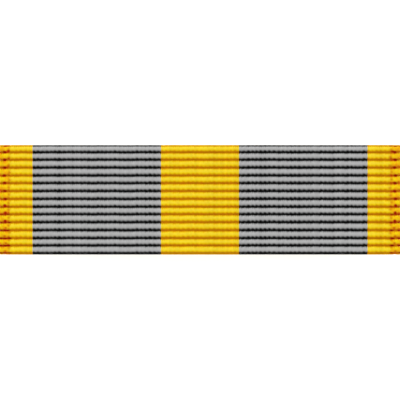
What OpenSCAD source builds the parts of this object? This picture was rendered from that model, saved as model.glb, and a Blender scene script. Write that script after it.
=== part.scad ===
// A ribbon bar: one striped, ribbed ribbon wrapped round a thin brass channel, which is pinched on a flat bar
// with two soldered posts. It lies on the wings of its two clutches, with the ribbon's front facing up.
// +X runs along the bar, +Y towards its upper long edge in wear and +Z out of the ribbon's front.
// The origin is the middle of the surface that the clutches rest on.

/* [Bar] */
// Length of the bar, which is the ribbon's woven width
bar_length = 34.925; // [31:0.025:45]
// Height of the bar in wear, over the ribbon
bar_height = 9.525; // [9:0.025:13]

/* [Ribbon] */
// Thickness of the woven ribbon at the crest of a rib
ribbon_wall = 1.0; // [1:0.05:1.4]
// Distance between two ribs
rib_pitch = 0.68; // [0.6:0.01:0.8]
// Depth of the groove between two ribs
rib_relief = 0.24; // [0.18:0.01:0.3]
// Width of the yellow stripe at each woven edge
edge_stripe = 2.85; // [1:0.05:5]
// Width of the yellow stripe in the middle
middle_stripe = 6.8; // [3:0.05:10]
// Gap between the ribbon and the brass that it is wrapped round
cloth_gap = 0.05; // [0.02:0.01:0.1]

/* [Carrier] */
// Thickness of the channel's brass sheet
carrier_sheet = 0.3; // [0.2:0.05:0.4]
// Inner radius of the channel's bends
carrier_bend = 0.15; // [0.12:0.01:0.25]
// How far the channel stops short of each woven edge
carrier_inset = 0.4; // [0.1:0.05:1]

/* [Mounting bar] */
// Thickness of the flat bar that carries the posts
plate_sheet = 0.6; // [0.5:0.05:1]
// Gap between the flat bar and the channel round it
slide_gap = 0.05; // [0.02:0.01:0.08]
// How far the flat bar stops short of each end of the channel
plate_inset = 0.3; // [0.1:0.05:1]
// Distance between the two posts
post_spacing = 19.05; // [15:0.05:22]
// Diameter of a post
post_d = 1.1; // [0.9:0.05:1.3]
// Diameter of a post's blunted point
post_point_d = 0.3; // [0.2:0.05:0.5]
// Length of a post's tapered point
post_point = 1.2; // [0.8:0.1:1.6]
// Width of the solder round a post's foot
solder_ring = 0.4; // [0.2:0.05:0.6]
// Height of the solder round a post's foot
solder_rise = 0.4; // [0.2:0.05:0.6]
// Gap between the solder and the ribbon's turned-in lips
slot_gap = 0.4; // [0.2:0.05:0.6]

/* [Clutch] */
// Gap between a clutch and the ribbon's back
clutch_gap = 0.3; // [0.2:0.05:0.5]
// Diameter of the flange that presses on the cloth
flange_d = 9.0; // [8.2:0.1:9.2]
// Thickness of the flange
flange_sheet = 0.5; // [0.4:0.05:0.7]
// Diameter of the shallow cup behind the flange
cup_d = 7.2; // [6.6:0.1:7.6]
// Depth of the shallow cup
cup_depth = 0.5; // [0.3:0.05:0.7]
// Diameter of the drum that holds the spring
drum_d = 5.4; // [5:0.1:6]
// Depth of the drum below the cup
drum_depth = 2.4; // [2:0.1:3.2]
// Radius of the drum's rounded shoulder
drum_shoulder = 0.8; // [0.4:0.1:1.2]
// Depth of the wings below the drum
wing_drop = 1.6; // [1.4:0.1:2]
// Thickness of a wing
wing_sheet = 0.5; // [0.4:0.05:0.6]
// Width of a wing
wing_width = 4.0; // [3:0.1:4.6]
// Half the span over both wings
wing_reach = 5.3; // [4.8:0.1:5.8]
// Length of the flat foot at each wing's end
wing_foot = 1.0; // [0.6:0.1:1.4]
// Half the length of the flat strip where the wings leave the drum
wing_root = 1.9; // [1.6:0.1:2.2]
// Radial clearance of a post in its clutch
post_clearance = 0.05; // [0.03:0.01:0.08]
// How far a post's point stands out of its drum
post_show = 0.9; // [0.6:0.1:1.2]

/* [Hidden] */
$fn = 48;
YELLOW = "#F5D62D";
GREY = "#B0B0B0";
BRASS = "#C9A24A";
POST_BRASS = "#D2B05C";
CLUTCH_BRASS = "#D8B765";

// The ribbon's stripes from -X to +X, one row each
STRIPE_COLOUR = 0;
STRIPE_WIDTH = 1;
ground_stripe = (bar_length - 2 * edge_stripe - middle_stripe) / 2;
STRIPES = [
    [YELLOW, edge_stripe],
    [GREY, ground_stripe],
    [YELLOW, middle_stripe],
    [GREY, ground_stripe],
    [YELLOW, edge_stripe],
];
function stripe_start(i) = i == 0 ? -bar_length / 2 : stripe_start(i - 1) + STRIPES[i - 1][STRIPE_WIDTH];

// Radius of a rib whose chord is the pitch and whose rise is the relief
rib_r = (rib_pitch * rib_pitch / 4 + rib_relief * rib_relief) / (2 * rib_relief);

// Levels through the bar, from the ribbon's back to its front
lip_back = ribbon_wall + cloth_gap;
lip_front = lip_back + carrier_sheet;
plate_back = lip_front + slide_gap;
plate_front = plate_back + plate_sheet;
web_front = plate_front + slide_gap + carrier_sheet;
bar_depth = web_front + cloth_gap + ribbon_wall;

// Widths across the bar
slot_width = post_d + 2 * solder_ring + 2 * slot_gap;
carrier_width = bar_height - 2 * (ribbon_wall + cloth_gap);
carrier_slot = slot_width + 2 * (ribbon_wall + cloth_gap);
plate_width = carrier_width - 2 * (carrier_sheet + slide_gap);
carrier_length = bar_length - 2 * carrier_inset;
plate_length = carrier_length - 2 * plate_inset;

// Heights above the surface that the bar lies on
cup_base = wing_drop + drum_depth;
clutch_top = cup_base + cup_depth + flange_sheet;
bar_base = clutch_top + clutch_gap;
post_top = bar_base + plate_back;
post_base = wing_drop - post_show;

// How many ribs fit between two rib centres, at about the pitch
function rib_steps(from, to) = max(1, round(norm(to - from) / rib_pitch));

// A row of touching ribs from one rib's centre to another's
module rib_row(from, to) {
    steps = rib_steps(from, to);
    for (i = [0 : steps])
        translate(from + (to - from) * i / steps)
            circle(r = rib_r);
}

// A rectangle by two opposite corners
module box_2d(low, high) {
    translate(low)
        square(high - low);
}

// A rectangle with round corners, centred in X and standing on Y = 0
module rounded_2d(width, height, radius) {
    box_2d([-width / 2, radius], [width / 2, height - radius]);
    box_2d([radius - width / 2, 0], [width / 2 - radius, height]);
    for (side = [-1, 1], level = [radius, height - radius])
        translate([side * (width / 2 - radius), level])
            circle(r = radius);
}

// Half of the ribbon's section, from the front's middle round one long edge to the lip turned in at the slot
module ribbon_half() {
    edge = bar_height / 2 - rib_r;
    lip = slot_width / 2 + rib_r;
    front = bar_depth - rib_r;
    box_2d([0, bar_depth - ribbon_wall], [edge, front]);
    box_2d([bar_height / 2 - ribbon_wall, rib_r], [edge, front]);
    box_2d([lip, rib_r], [edge, ribbon_wall]);
    box_2d([lip, rib_r], [slot_width / 2 + ribbon_wall, lip_front]);
    rib_row([edge, front], [edge, rib_r]);
    rib_row([edge, rib_r], [lip, rib_r]);
    rib_row([lip, rib_r], [lip, lip_front - rib_r]);
}

// The ribbon's section across the bar, in Y and Z
module ribbon_section() {
    edge = bar_height / 2 - rib_r;
    front = bar_depth - rib_r;
    ribbon_half();
    mirror([1, 0])
        ribbon_half();
    rib_row([-edge, front], [edge, front]);
}

// A section in Y and Z drawn out along X from a given place
module along_bar(start, length) {
    translate([start, 0, bar_base])
        rotate([90, 0, 90])
            linear_extrude(length)
                children();
}

module ribbon() {
    for (i = [0 : len(STRIPES) - 1])
        color(STRIPES[i][STRIPE_COLOUR])
            along_bar(stripe_start(i), STRIPES[i][STRIPE_WIDTH])
                ribbon_section();
}

// The channel's section: a web, two bends and two lips that leave the slot open
module carrier_section() {
    height = web_front - lip_back;
    translate([0, lip_back])
        difference() {
            rounded_2d(carrier_width, height, carrier_bend + carrier_sheet);
            translate([0, carrier_sheet])
                rounded_2d(carrier_width - 2 * carrier_sheet, height - 2 * carrier_sheet, carrier_bend);
            translate([-carrier_slot / 2, -carrier_sheet])
                square([carrier_slot, 3 * carrier_sheet]);
        }
}

module carrier() {
    color(BRASS)
        along_bar(-carrier_length / 2, carrier_length)
            carrier_section();
}

// A post with its point down and its solder up against the flat bar
module post() {
    translate([0, 0, post_base])
        cylinder(h = post_point, d1 = post_point_d, d2 = post_d);
    translate([0, 0, post_base + post_point])
        cylinder(h = post_top - post_base - post_point, d = post_d);
    translate([0, 0, post_top - solder_rise])
        cylinder(h = solder_rise, d1 = post_d, d2 = post_d + 2 * solder_ring);
}

module mounting_bar() {
    color(POST_BRASS) {
        along_bar(-plate_length / 2, plate_length)
            translate([0, plate_back])
                rounded_2d(plate_width, plate_sheet, carrier_bend - slide_gap);
        for (side = [-1, 1])
            translate([side * post_spacing / 2, 0, 0])
                post();
    }
}

// A straight strip of sheet between two points, with round ends
module strip_2d(from, to, sheet) {
    run = to - from;
    translate(from) {
        rotate(atan2(run[1], run[0]))
            translate([0, -sheet / 2])
                square([norm(run), sheet]);
        circle(d = sheet);
    }
    translate(to)
        circle(d = sheet);
}

// One wing's section in X and Z: the strip under the drum, the slope and the foot that it rests on
module wing_section() {
    root = [wing_root, wing_drop - wing_sheet / 2];
    heel = [wing_reach - wing_foot, wing_sheet / 2];
    toe = [wing_reach - wing_sheet / 2, wing_sheet / 2];
    box_2d([0, wing_drop - wing_sheet], [wing_root, wing_drop]);
    strip_2d(root, heel, wing_sheet);
    strip_2d(heel, toe, wing_sheet);
}

// Half of the clutch's turned section, the drum below and the flange on top
module clutch_section() {
    box_2d([0, wing_drop], [drum_d / 2 - drum_shoulder, clutch_top]);
    box_2d([0, wing_drop + drum_shoulder], [drum_d / 2, clutch_top]);
    translate([drum_d / 2 - drum_shoulder, wing_drop + drum_shoulder])
        circle(r = drum_shoulder);
    box_2d([0, cup_base], [cup_d / 2, clutch_top]);
    box_2d([0, clutch_top - flange_sheet], [(flange_d - flange_sheet) / 2, clutch_top]);
    translate([(flange_d - flange_sheet) / 2, clutch_top - flange_sheet / 2])
        circle(d = flange_sheet);
}

module clutch(side) {
    color(CLUTCH_BRASS)
        translate([side * post_spacing / 2, 0, 0])
            difference() {
                union() {
                    rotate_extrude()
                        clutch_section();
                    for (turn = [0, 180])
                        rotate([90, 0, turn])
                            translate([0, 0, -wing_width / 2])
                                linear_extrude(wing_width)
                                    wing_section();
                }
                cylinder(h = 2 * clutch_top, d = post_d + 2 * post_clearance);
            }
}

module clutch_left() { clutch(-1); }
module clutch_right() { clutch(1); }

ribbon();
carrier();
mounting_bar();
clutch_left();
clutch_right();
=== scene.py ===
"""Looks of a ribbon bar: a rib-woven striped ribbon on a brass channel, held by two clutches.

Sizes are written in millimetres, and all that is built is in metres."""

import math

import bpy
import numpy as np
from bpy.props import FloatProperty, FloatVectorProperty, IntProperty, PointerProperty
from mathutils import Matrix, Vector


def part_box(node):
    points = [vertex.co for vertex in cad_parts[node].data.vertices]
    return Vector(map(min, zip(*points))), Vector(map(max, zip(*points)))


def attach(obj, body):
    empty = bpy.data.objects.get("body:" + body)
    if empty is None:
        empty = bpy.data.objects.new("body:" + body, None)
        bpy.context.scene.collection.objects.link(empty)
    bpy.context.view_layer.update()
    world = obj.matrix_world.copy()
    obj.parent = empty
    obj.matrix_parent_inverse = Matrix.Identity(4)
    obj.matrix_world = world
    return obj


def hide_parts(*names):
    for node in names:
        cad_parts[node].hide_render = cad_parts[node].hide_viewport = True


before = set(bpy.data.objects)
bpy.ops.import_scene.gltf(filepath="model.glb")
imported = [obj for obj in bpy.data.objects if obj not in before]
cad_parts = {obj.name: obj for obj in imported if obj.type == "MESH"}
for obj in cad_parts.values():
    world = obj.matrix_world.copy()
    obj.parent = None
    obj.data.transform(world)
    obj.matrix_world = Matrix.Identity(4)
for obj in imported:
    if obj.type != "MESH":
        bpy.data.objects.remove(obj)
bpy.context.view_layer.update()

bl_info = {
    "name": "Ribbon Bar",
    "version": (1, 0, 0),
    "blender": (4, 5, 0),
    "location": "3D View > Sidebar > Ribbon Bar",
    "description": "Weaves a striped ribbon bar, finishes its brass parts and presses its clutches",
    "category": "Object",
}

MM = 0.001
SEED = 7
BODY = "root"

# Settings that many nodes share: a range with soft ends, and a mix of colours
SOFT = {"interpolation_type": "SMOOTHSTEP"}
COLOURS = {"data_type": "RGBA"}

# The bar and the end of its channel, as the frame has them
RIBBON_LOW, RIBBON_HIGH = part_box("ribbon")
BAR_LENGTH, BAR_HEIGHT, BAR_DEPTH = (float(high - low) / MM for low, high in zip(RIBBON_LOW, RIBBON_HIGH))
BAR_HALF = BAR_HEIGHT / 2
BAR_END = BAR_LENGTH / 2
BAR_BACK = RIBBON_LOW[2] / MM
CHANNEL_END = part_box("carrier")[1][0] / MM

# The ribbon's section: wall, outer and inner bends, half the slot between its two lips, and the lips' height
WALL = 1.0
BEND = 0.36
INNER_BEND = 0.08
SLOT_HALF = 1.35
LIP_TOP = 1.35

# Points at which the wrap and the inner outline of a woven end are looked up, and how far sums may be off
WRAP_SAMPLES = 8000
CHAIN_SAMPLES = 3000
ROUNDING_ERROR = 1e-9

# Places of the grooves on the front, above the bar's middle, from the upper edge down
FRONT_GROOVES = (
    4.113, 3.463, 2.774, 2.086, 1.427, 0.732, 0.048, -0.633, -1.281, -1.976, -2.671, -3.367, -3.992,
)

# Ribs on each long side, on each half of the back and on each lip
SIDE_RIBS = 5
BACK_RIBS = 5
LIP_RIBS = 2

# Where the front's two outermost grooves lie on its bends, in degrees from the bar's long sides
TOP_CREASE = 32
BOTTOM_CREASE = 42

# One row of mesh each across a rib on the front: its phase, 0 at the groove before it and 1 at the one after,
# its painted shade, 0 for a crest's colour and 1 for a groove's, which paints the grooves and each rib's
# lower flank dark as shade from a light above, and how much it takes of the teeth of each groove
FRONT_ROWS = (
    (0.0, 1.05, 0.1, 0.1),
    (0.06, 1.3, 0.2, 0.0),
    (0.13, 1.15, 0.95, 0.0),
    (0.2, 0.0, 0.45, 0.0),
    (0.37, 0.0, 0.0, 0.0),
    (0.5, 0.07, 0.0, 0.0),
    (0.63, 0.17, 0.0, 0.1),
    (0.76, 0.65, 0.0, 0.34),
    (0.86, 1.02, 0.0, 0.38),
    (0.94, 1.1, 0.0, 0.16),
)

# The same for a rib anywhere else
BACK_ROWS = ((0.0, 1.05, 0.1, 0.1), (0.2, 0.55, 0.3, 0.0), (0.5, -0.05, 0.0, 0.0), (0.8, 0.55, 0.0, 0.3))

# How flat a rib's crest is: 1 is a plain arc
CREST_POWER = 1.35

# Share of a groove's depth and of its painted shade that is left where the ribbon folds: at the front's upper
# and lower edge, at the two folds on the back and at the lips' cut ends
TOP_FOLD = (0.4, 1.0)
BOTTOM_FOLD = (0.5, 1.0)
BACK_FOLD = (0.15, 0.6)
CUT_END = (0.0, 0.3)

# Painted shade just under the front's lower edge, where the cloth turns down away from the light, past a
# groove's own
UNDER_EDGE_SHADE = 1.3

# How far the ribs at the bar's upper and lower long edge stand out
TOP_PROUD = 0.028
BOTTOM_PROUD = 0.03

# A groove's waver along the bar: the period that all ribs share, each rib's own one, and both strengths
WAVER_PERIOD = 0.69
OWN_PERIOD = 0.483
COMMON_WAVER = 0.75
OWN_WAVER = 0.45

# Gaps between warp threads: how much deeper beside a slack thread, and the share of depth left on a crest
SLACK_GAP = 0.5
CREST_GAP = 0.3

# Teeth of a groove's painted shade, as shares of the way from crest to groove: from thread to thread, from
# slack threads, and dark beads with the level between them, their strengths, columns to one bead, and their
# drift
THREAD_TEETH = 0.9
SLACK_TEETH = 1.4
BEAD_TEETH = 2.1
BEAD_LEVEL = -0.6
BEAD_STRENGTHS = (0.3, 1.0)
BEAD_COLUMNS = 4
BEAD_DRIFT = 0.18
BEAD_DRIFT_COLUMNS = 9.0

# Marks of the thread that binds the woven edges: distance from the edge, shift along the wrap and two spreads
PIT = (0.47, -0.02, 0.115, 0.085)
HIGH_PIT = (0.49, -0.13, 0.10, 0.105)
LINK = (0.75, -0.13, 0.13, 0.07)
RIM = (0.10, 0.0, 0.16, 0.06)
MIDDLE = (0.48, 0.0, 0.16, 0.06)
ROOT = (0.8, 0.0, 0.13, 0.06)
LOOP = (0.51, -0.2, 0.10, 0.08)
KNOT = (0.85, 0.0, 0.085, 0.08)

# How far a mark strays, as a share of its distance from the edge and along the wrap, and how far marks reach
MARK_JITTER = (0.12, 0.02)
BINDING_REACH = 1.6

# How deep pits and knots are pulled into the cloth
PIT_DEPTH = 0.08
KNOT_DEPTH = 0.04

# How far down the front, from 0 at the upper edge to 1 at the lower one, links end, high pits take over from
# pits and loops from high pits, and where the line of marks across the bound edge starts and is full
LINK_TO = 0.36
PIT_TO = 0.55
LOOP_FROM = 0.75
LINE = (0.4, 0.85)

# How strong the marks are: links at the upper edge, loops as pits and as knots, the marks beside loops, and
# those at the rim and at the root of the bound edge, where the line starts and where it is full
LINK_STRENGTH = 0.9
LOOP_STRENGTHS = (0.5, 0.8)
BESIDE_LOOP = 0.15
RIM_STRENGTHS = (0.15, 0.9)
ROOT_STRENGTHS = (0.1, 0.95)

# The row of knots between bound edge and stripe: its pitch and first place, how far a knot strays across and
# along, and its strength with how much that varies
KNOT_PITCH = 0.651
KNOT_START = 0.46
KNOT_JITTER = (0.08, 0.06)
KNOT_STRENGTH = (0.9, 0.1)

# The woven ends: how far the cords' ends are rounded, distance from the end and drop of the last two columns,
# rings between the outer and the inner side, each with its share of the way in and its distance from the end,
# the painted shade between the cords of an end, and how far the inner side is darkened towards the groove
# colour
CORD_END = 0.03
END_COLUMNS = ((0.0, 0.03), (0.09, 0.0))
END_RINGS = ((0.2, 0.0), (0.5, 0.0), (0.8, 0.03))
END_SHADE = 0.8
INSIDE_SHADE = 0.2

# Half widths of the middle stripe and of all between the two edge stripes, the bound edge and its soft line
MIDDLE_STRIPE_HALF = 3.4
EDGE_STRIPE_START = 14.575
BINDING_WIDTH = 0.9
BINDING_SOFTNESS = 0.1

# Sizes of the cloth's patterns: patches of dye, spots of wear, and filaments of the warp threads with their
# depth. Real filaments are about a third as wide and are drawn coarser, so that they show close up
DYE_PATCH = 0.33
WEAR_SPOT = 0.4
FILAMENT = 0.045
FILAMENT_DEPTH = 0.01

# The left clutch's place along the bar, its post hole, and the section of its turned wall: radius, height
# and rounding of each corner, from the hole's pressed lip over the ring bead and the flat of the flange to
# its rolled rim, then down the cup, the drum with its pressed groove and the round shoulder, and in below
CLUTCH_MIDDLE = -9.525
POST_HOLE = 0.6
CLUTCH_CORNERS = (
    (POST_HOLE, 4.82, 0),
    (0.7, 5.0, 0.12),
    (1.0, 4.9, 0.3),
    (2.2, 4.9, 0.4),
    (2.6, 5.0, 0.3),
    (3.0, 4.9, 0.4),
    (3.15, 4.9, 0),
    (3.55, 4.9, 0),
    (3.95, 4.9, 0.3),
    (4.24, 4.99, 0.15),
    (4.5, 4.99, 0.2),
    (4.5, 4.5, 0.22),
    (3.6, 4.5, 0.15),
    (3.6, 4.0, 0.2),
    (2.7, 4.0, 0.2),
    (2.7, 3.42, 0.1),
    (2.6, 3.28, 0.06),
    (2.7, 3.14, 0.1),
    (2.7, 1.58, 0.8),
    (POST_HOLE, 1.58, 0),
)

# Most degrees of an arc from one ring of the wall to the next, and the longest step between two rings
CLUTCH_TURN = 15
CLUTCH_STEP = 0.45

# Small bumps on the flange that bite into the cloth: how many, the ring that they stand on, half their width
# in degrees, and how far their slopes reach in
FLANGE_BUMPS = 4
BUMP_RING = (3.15, 3.55)
BUMP_ANGLE = 7.0
BUMP_SLOPE = 0.1

# The strip under the drum: the middle of its sheet, its flat half length, its width and the grid of its flat
# part, then distance, height and rounding of each corner of a wing with the steps between them, then the
# wing's end with its rounding and the distances from it at which the round toe is drawn
STRIP_HEIGHT = 1.35
STRIP_HALF = 1.7
STRIP_WIDTH = 4.0
STRIP_GRID = (6, 12)
WING_CORNERS = ((STRIP_HALF, STRIP_HEIGHT, 0), (1.9, STRIP_HEIGHT, 0.6), (4.3, 0.25, 0.7), (4.75, 0.25, 0))
WING_TURN = 9
WING_STEP = 0.3
WING_REACH = 5.3
TOE_ROUND = 0.5
TOE_STEPS = (0.38, 0.24, 0.13, 0.0)

# Flutes pressed up along a wing, one in the other: where each starts and ends, its half width and its rise
FLUTES = ((2.5, 3.9, 0.9, 0.05), (2.7, 3.7, 0.5, 0.06))

# Degrees past which an edge of the strip is rounded, in how many steps, and past which one is shaded sharp
SHARP_EDGE = 50
EDGE_STEPS = 3
SMOOTH_EDGE = 38

# How near points merge or count as lying on a line, and how steeply up a face of the flange looks
MERGE_WITHIN = 0.001
ON_LINE = 0.01
FACING_UP = 0.9

# Where hands and cloth rub a clutch bright: the rim, outwards and above a height, the feet, outwards and
# below one, and the wings' long edges, outwards, below a height and past the drum
RIM_RUB = (4.2, 4.5)
RIM_ABOVE = 4.3
FOOT_RUB = (3.9, 5.3)
FOOT_BELOW = 1.0
EDGE_RUB = (1.8, 2.0)
WING_BELOW = 1.55
WING_FROM = 1.9

# The drum's shoulder is rubbed a little too: its radius, height, reach and share
SHOULDER_RUB = (2.5, 1.9, 0.5)
SHOULDER_SHARE = 0.6

# Where clutches tarnish: radius and height of the corners that a cloth doesn't reach, and how far it spreads
TARNISH_RINGS = ((3.7, 4.5), (2.75, 3.98), (2.61, 3.28), (1.95, 1.65), (0.8, 1.1))
TARNISH_REACH = 0.22

# Brass, in all three finishes: patches of tarnish, unevenness of the sheet and depth of its strokes
TARNISH_PATCH = 1.1
DENT = 0.7
STROKE_DEPTH = 0.006

# How far in the channel's cut ends are worn, the ring of solder and heat round each post, from its darkest to
# its outer radius, and how far above the ribbon's back the posts stop being bright
END_WEAR = 1.2
SOLDER_RING = (0.7, 1.9)
POST_TOP = 0.6

# The stage: the floor's drop below the wings' feet, the grain of its paper, and the key light's place
FLOOR_DROP = 0.02
PAPER_GRAIN = 0.25
KEY_PLACE = (0, 300, 400)


def linear(hex_colour):
    """An sRGB hex value as linear red, green, blue and alpha."""
    parts = [int(hex_colour[i : i + 2], 16) / 255 for i in (1, 3, 5)]
    return tuple(p / 12.92 if p <= 0.04045 else ((p + 0.055) / 1.055) ** 2.4 for p in parts) + (1.0,)


def length_property(name, description, millimetres):
    """A size that a user can change."""
    return FloatProperty(name=name, description=description, default=millimetres * MM, unit="LENGTH")


def colour_property(name, description, hex_colour):
    """A colour that a user can change."""
    return FloatVectorProperty(
        name=name, description=description, default=linear(hex_colour), size=4, subtype="COLOR"
    )


def add_node(tree, kind, settings=None, inputs=None, stops=None):
    """Adds a node, sets its properties and ramp stops, and fills its inputs, each by its number or name.

    An input takes a value, a socket, or a node, whose first output in use is then linked to it."""
    made = tree.nodes.new(kind)
    for name, value in (settings or {}).items():
        setattr(made, name, value)
    for key, value in (inputs or {}).items():
        if isinstance(key, int):
            socket = made.inputs[key]
        else:
            socket = next(socket for socket in made.inputs if socket.enabled and socket.name == key)
        if isinstance(value, bpy.types.Node):
            value = next(output for output in value.outputs if output.enabled)
        if isinstance(value, bpy.types.NodeSocket):
            tree.links.new(value, socket)
        else:
            socket.default_value = value
    if stops:
        elements = made.color_ramp.elements
        while len(elements) < len(stops):
            elements.new(1.0)
        for element, (place, level) in zip(elements, stops):
            element.position = place
            element.color = (level, level, level, 1.0)
    return made


def new_material(name):
    """An empty node material and its tree."""
    material = bpy.data.materials.new(name)
    material.use_nodes = True
    material.node_tree.nodes.clear()
    return material, material.node_tree


def write_layer(mesh, name, values):
    """Gives each point of a mesh a value, under the name by which a material reads it."""
    layer = mesh.attributes.new(name, "FLOAT", "POINT")
    layer.data.foreach_set("value", values.astype(np.float32))


def ramp(value, start, end):
    """How far a value has come from start to end, from 0 to 1."""
    return np.clip((value - start) / (end - start), 0, 1)


def rounded(corners, turn, longest):
    """A chain of points through corners, each given by two places and the radius that rounds it.

    An arc has a point every few degrees of its turn, and no straight step is longer than asked."""
    places = np.array([corner[:2] for corner in corners], dtype=float)
    points = [places[0]]
    for before, corner, after, (_, _, radius) in zip(places, places[1:], places[2:], corners[1:]):
        if radius == 0:
            points.append(corner)
            continue
        into = (corner - before) / np.linalg.norm(corner - before)
        out = (after - corner) / np.linalg.norm(after - corner)
        bend = math.acos(into @ out)
        centre = corner + (out - into) * radius / math.sin(bend)
        spokes = [corner + way * radius * math.tan(bend / 2) - centre for way in (-into, out)]
        steps = math.ceil(math.degrees(bend) / turn)
        for angle in np.linspace(0, bend, steps + 1):
            spoke = spokes[0] * math.sin(bend - angle) + spokes[1] * math.sin(angle)
            points.append(centre + spoke / math.sin(bend))
    points.append(places[-1])
    chain = [points[0]]
    for point in points[1:]:
        steps = math.ceil(np.linalg.norm(point - chain[-1]) / longest)
        chain += list(np.linspace(chain[-1], point, steps + 1))[1:]
    return chain


def smooth_noise(rng, count, step, period):
    """A seeded random wave between -1 and 1 along count points a step apart, with about that period."""
    knots = rng.uniform(-1.0, 1.0, int(count * step / period) + 4)
    place = np.arange(count) * step / period
    low = place.astype(int)
    share = place - low
    share = share * share * (3 - 2 * share)
    return knots[low] * (1 - share) + knots[low + 1] * share


def wrap_point(run):
    """Place and outward normal, in Y and Z, on the ribbon's wrap at a run from the upper lip's cut end."""
    arc = BEND * math.pi / 2
    # Legs of the upper half: length, start or centre, direction or starting angle, and normal if straight
    legs = (
        (LIP_TOP - BEND, (SLOT_HALF, LIP_TOP), (0, -1), (-1, 0)),
        (arc, (SLOT_HALF + BEND, BEND), 180, None),
        (BAR_HALF - SLOT_HALF - 2 * BEND, (SLOT_HALF + BEND, 0), (1, 0), (0, -1)),
        (arc, (BAR_HALF - BEND, BEND), 270, None),
        (BAR_DEPTH - 2 * BEND, (BAR_HALF, BEND), (0, 1), (1, 0)),
        (arc, (BAR_HALF - BEND, BAR_DEPTH - BEND), 0, None),
        (BAR_HALF - BEND, (BAR_HALF - BEND, BAR_DEPTH), (-1, 0), (0, 1)),
    )
    total = sum(leg[0] for leg in legs)
    mirrored = run > total
    run = 2 * total - run if mirrored else run
    for length, start, way, normal in legs:
        if run <= length + ROUNDING_ERROR:
            break
        run -= length
    if normal:
        ny, nz = normal
        y, z = start[0] + way[0] * run, start[1] + way[1] * run
    else:
        angle = math.radians(way) + run / BEND
        ny, nz = math.cos(angle), math.sin(angle)
        y, z = start[0] + BEND * ny, start[1] + BEND * nz
    sign = -1 if mirrored else 1
    return sign * y, z, sign * ny, nz


def rib_marks():
    """Runs of all the grooves along the wrap, and the numbers of the front's first and last ones."""
    arc = BEND * math.pi / 2
    lip_crease = LIP_TOP - BEND + arc / 2
    back_crease = lip_crease + arc + BAR_HALF - SLOT_HALF - 2 * BEND
    side_end = back_crease + arc / 2 + BAR_DEPTH - 2 * BEND
    flat_start = side_end + arc
    whole = 2 * (flat_start + BAR_HALF - BEND)
    top_crease = side_end + BEND * math.radians(TOP_CREASE)
    bottom_crease = whole - side_end - BEND * math.radians(BOTTOM_CREASE)
    marks = list(np.linspace(0, lip_crease, LIP_RIBS + 1))
    marks += list(np.linspace(lip_crease, back_crease, BACK_RIBS + 1))[1:]
    mirrored = [whole - m for m in reversed(marks)]
    marks += list(np.linspace(back_crease, top_crease, SIDE_RIBS + 1))[1:]
    first = len(marks) - 1
    marks += [flat_start + BAR_HALF - BEND - y for y in FRONT_GROOVES]
    marks += list(np.linspace(bottom_crease, mirrored[0], SIDE_RIBS + 1))[:-1] + mirrored
    return np.array(marks), first, first + len(FRONT_GROOVES) + 1


def inner_path():
    """Corners of the ribbon's inner side, in Y and Z, from the upper lip round to the lower one."""
    half = BAR_HALF - WALL
    front = BAR_DEPTH - WALL
    lip = SLOT_HALF + WALL
    upper = [
        (lip, LIP_TOP),
        (lip, WALL + INNER_BEND),
        (lip + INNER_BEND, WALL),
        (half - INNER_BEND, WALL),
        (half, WALL + INNER_BEND),
        (half, front - INNER_BEND),
        (half - INNER_BEND, front),
    ]
    lower = [(-y, z) for y, z in reversed(upper)]
    return np.array(upper + [(0.0, front)] + lower)


def rib_dip(phase, pitch, relief):
    """How far a round rib has fallen off its crest, 0 on the crest and 1 at a groove."""
    radius = (pitch * pitch / 4 + relief * relief) / (2 * relief)
    across = pitch * (phase - 0.5)
    return ((radius - math.sqrt(max(radius * radius - across * across, 0))) / relief) ** CREST_POWER


def along_chain(points):
    """Distance of each point from the first along a chain."""
    return np.concatenate([[0], np.cumsum(np.linalg.norm(np.diff(points, axis=0), axis=1))])


def nearest_on_chain(points, chain):
    """The nearest place on a chain to each point, and how far along it lies, never going back."""
    runs = along_chain(chain)
    fine = np.linspace(0, runs[-1], CHAIN_SAMPLES)
    samples = np.stack([np.interp(fine, runs, chain[:, k]) for k in (0, 1)], axis=1)
    best = np.argmin(np.linalg.norm(points[:, None] - samples[None], axis=2), axis=1)
    best = np.maximum.accumulate(best)
    return samples[best], fine[best]


def bridge(first, first_runs, second, second_runs):
    """Triangles between two chains of points, which go on with the one whose next point comes first."""
    faces = []
    i = j = 0
    while i < len(first) - 1 or j < len(second) - 1:
        first_next = first_runs[i + 1] if i < len(first) - 1 else math.inf
        second_next = second_runs[j + 1] if j < len(second) - 1 else math.inf
        if first_next <= second_next:
            faces.append((first[i], first[i + 1], second[j]))
            i += 1
        else:
            faces.append((first[i], second[j + 1], second[j]))
            j += 1
    return faces


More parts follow.
